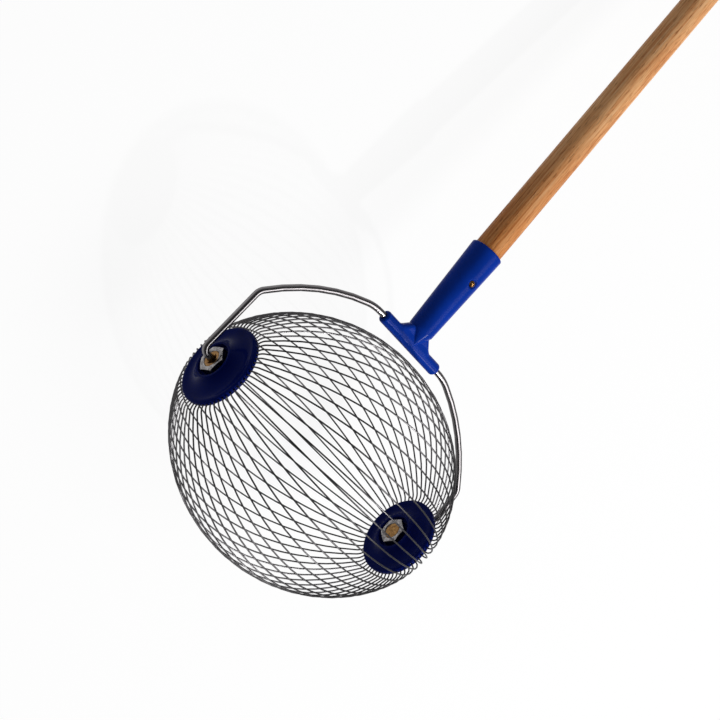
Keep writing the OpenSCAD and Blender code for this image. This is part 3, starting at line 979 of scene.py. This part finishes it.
# %% The tee head's field
def head_distance(points):
    """Distance to the head's skin, in the yoke's axes from the middle of the crossbar."""
    x, y, z = points.T
    from_bar = np.hypot(y, z)
    from_handle = np.hypot(x, z)
    bar_outline = [(-crossbar_half, -crossbar_r), (crossbar_half, -crossbar_r),
                   (crossbar_half, crossbar_r), (-crossbar_half, crossbar_r)]
    bar_section = np.column_stack([x, from_bar])
    bar = outline_distance(bar_section, inset(bar_outline, crossbar_round)) - crossbar_round
    web_outline = [(-gusset_half_foot, 0), (gusset_half_foot, 0),
                   (socket_base_r, gusset_rise), (-socket_base_r, gusset_rise)]
    web_flat = outline_distance(np.column_stack([x, y]), inset(web_outline, gusset_round))
    web_thick = np.abs(z) - gusset_half_t + gusset_round
    web = (np.hypot(np.maximum(web_flat, 0), np.maximum(web_thick, 0))
           + np.minimum(np.maximum(web_flat, web_thick), 0) - gusset_round)
    socket_outline = [(-socket_tip_r, 0), (socket_tip_r, 0), (socket_base_r, socket_base),
                      (socket_mouth_r, socket_reach), (-socket_mouth_r, socket_reach),
                      (-socket_base_r, socket_base)]
    section = np.column_stack([from_handle, y])
    socket = outline_distance(section, inset(socket_outline, socket_round)) - socket_round
    up_neck = y / socket_base
    neck = np.hypot(x, np.abs(z) - crossbar_r * (1 - up_neck)) - socket_base_r * up_neck
    neck = np.maximum(neck / neck_slant, y - socket_base)
    body = melted(bar, web, web_fillet)
    body = melted(body, np.minimum(socket, neck), neck_fillet)
    body = carved(body, from_bar - rod_r - seat_gap, bore_edge)
    hollow_r = tenon_r + seat_gap
    mouth_r = handle_r + seat_gap
    past = socket_reach + handle_r
    hollow = outline_distance(section, [(-hollow_r, socket_floor), (hollow_r, socket_floor),
                                        (mouth_r, socket_reach), (mouth_r, past),
                                        (-mouth_r, past), (-mouth_r, socket_reach)])
    body = carved(body, hollow, bore_edge)
    from_screw = np.hypot(x, y - screw_place)
    counterbore = np.maximum(from_screw - counterbore_r, screw_seat - z)
    screw_hole = np.maximum(from_screw - screw_hole_r, -z)
    return carved(carved(body, screw_hole, bore_edge), counterbore, bore_edge)


print("tee head's field ready")

# %% [markdown]
# ## Sliding the points onto the skin
# The remeshed points start within a fraction of a millimetre of the skin. Each is moved against
# the field's slope by its own distance, a few times over, which is Newton's method in three
# dimensions. The result is as smooth as the formula, with no stair steps from the remesh.

# %% Tee head
remesh_size = 0.55 * MM
slope_step = 0.02 * MM
least_square_slope = 0.25
slide_rounds = 4
head_sharp_angle = 60


def remeshed(node, size):
    """Points and faces of a CAD node's copy, remeshed into even squares."""
    copy = bpy.data.objects.new("remesh_copy", frame["nodes"][node].data.copy())
    bpy.context.scene.collection.objects.link(copy)
    squares = copy.modifiers.new("squares", "REMESH")
    squares.mode = "VOXEL"
    squares.voxel_size = size
    mesh = copy.evaluated_get(bpy.context.evaluated_depsgraph_get()).to_mesh()
    points = np.array([v.co for v in mesh.vertices])
    faces = [tuple(p.vertices) for p in mesh.polygons]
    bpy.data.objects.remove(copy)
    return points, faces


def slid_onto(points, distance):
    """Moves points onto the zero skin of a distance field."""
    for _ in range(slide_rounds):
        here = distance(points)
        slope = np.column_stack([distance(points + step) - distance(points - step)
                                 for step in slope_step * np.eye(3)]) / (2 * slope_step)
        square_slope = np.maximum((slope ** 2).sum(axis=1), least_square_slope)
        points = points - (here / square_slope)[:, None] * slope
    return points


bar_middle = np.array([0, bar_y, 0])


def in_head(points):
    """Row frame points in the yoke's axes, from the middle of the crossbar."""
    return (points - axle) @ np.array([across, along, above]).T - bar_middle


head_points, head_faces = remeshed("tee_head", remesh_size)
head_points = slid_onto(in_head(head_points), head_distance)
head = add_piece("tee_head_moulding", in_yoke(head_points + bar_middle), head_faces, blue,
                 head_sharp_angle)
stand_in(head, "yoke", "tee_head")
print("tee head:", len(head_points), "points, off the skin by at most",
      round(float(np.abs(head_distance(head_points)).max()) / MM, 3), "mm")

# %% [markdown]
# ## Screw and handle
# A round-headed brass screw holds the handle in its socket. Its dome is a slice of a sphere, and
# a thin block cuts the driver's slot. The handle is a plain turned dowel whose CAD shape is
# already right, so it stays and only takes the wood finish.

# %% Screw
screw_head_r = 3.5 * MM
screw_head_h = 2.4 * MM
screw_r = 2 * MM
screw_length = 18 * MM
screw_slot_w = 0.9 * MM
screw_slot_depth = 1 * MM
screw_tip_r = 0.3 * screw_r
screw_tip_h = 0.6 * MM
screw_point_h = 4 * MM
dome_steps = 12
dome_gap_angle = 0.02
slot_cutter_half = 1.5 * screw_head_r
screw_points = 64


def screw_profile():
    """Radius and height from the point, up the shank and over the dome."""
    dome_r = (screw_head_r ** 2 + screw_head_h ** 2) / (2 * screw_head_h)
    rim = math.asin((screw_head_h - dome_r) / dome_r)
    angles = np.linspace(-rim, math.pi / 2 - dome_gap_angle, dome_steps)
    dome = np.column_stack([dome_r * np.cos(angles),
                            screw_head_h - dome_r + dome_r * np.sin(angles)])
    shank = np.array([(axis_gap, -screw_length), (screw_tip_r, screw_tip_h - screw_length),
                      (screw_r, screw_point_h - screw_length), (screw_r, 0)])
    return np.vstack([shank, dome])


profile = screw_profile()
angles = turn_angles(screw_points)
rings = np.stack([profile[:, None, 0] * np.cos(angles), profile[:, None, 0] * np.sin(angles),
                  profile[:, None, 1] + 0 * angles], axis=-1)
screw_middle = np.array([0, bar_y + screw_place, screw_seat])
screw = add_piece("brass_screw", in_yoke(rings + screw_middle),
                  ring_faces(len(profile), screw_points, loop=False), brass)
print("screw head", 2 * screw_head_r / MM, "mm wide")

# %% Driver's slot
block = np.array([(x, y, z) for x in (-1, 1) for y in (-1, 1) for z in (-1, 1)], float)
block = block * [slot_cutter_half, screw_slot_w / 2, screw_slot_depth] + [0, 0, screw_head_h]
block_faces = [(0, 1, 3, 2), (4, 6, 7, 5), (0, 4, 5, 1),
               (2, 3, 7, 6), (0, 2, 6, 4), (1, 5, 7, 3)]
cutter = add_piece("slot_cutter", in_yoke(block + screw_middle), block_faces, brass)
cut = screw.modifiers.new("slot", "BOOLEAN")
cut.object = cutter
cut.solver = "EXACT"
result = screw.evaluated_get(bpy.context.evaluated_depsgraph_get())
slotted = bpy.data.meshes.new_from_object(result)
screw.modifiers.clear()
screw.data = slotted
bpy.data.objects.remove(cutter)
stand_in(screw, "yoke", "handle_screw")
print("slotted screw:", len(slotted.vertices), "points")

# %% Handle
handle = frame["nodes"]["handle"]
handle.data.materials.clear()
handle.data.materials.append(wood)
print("handle:", len(handle.data.vertices), "points")
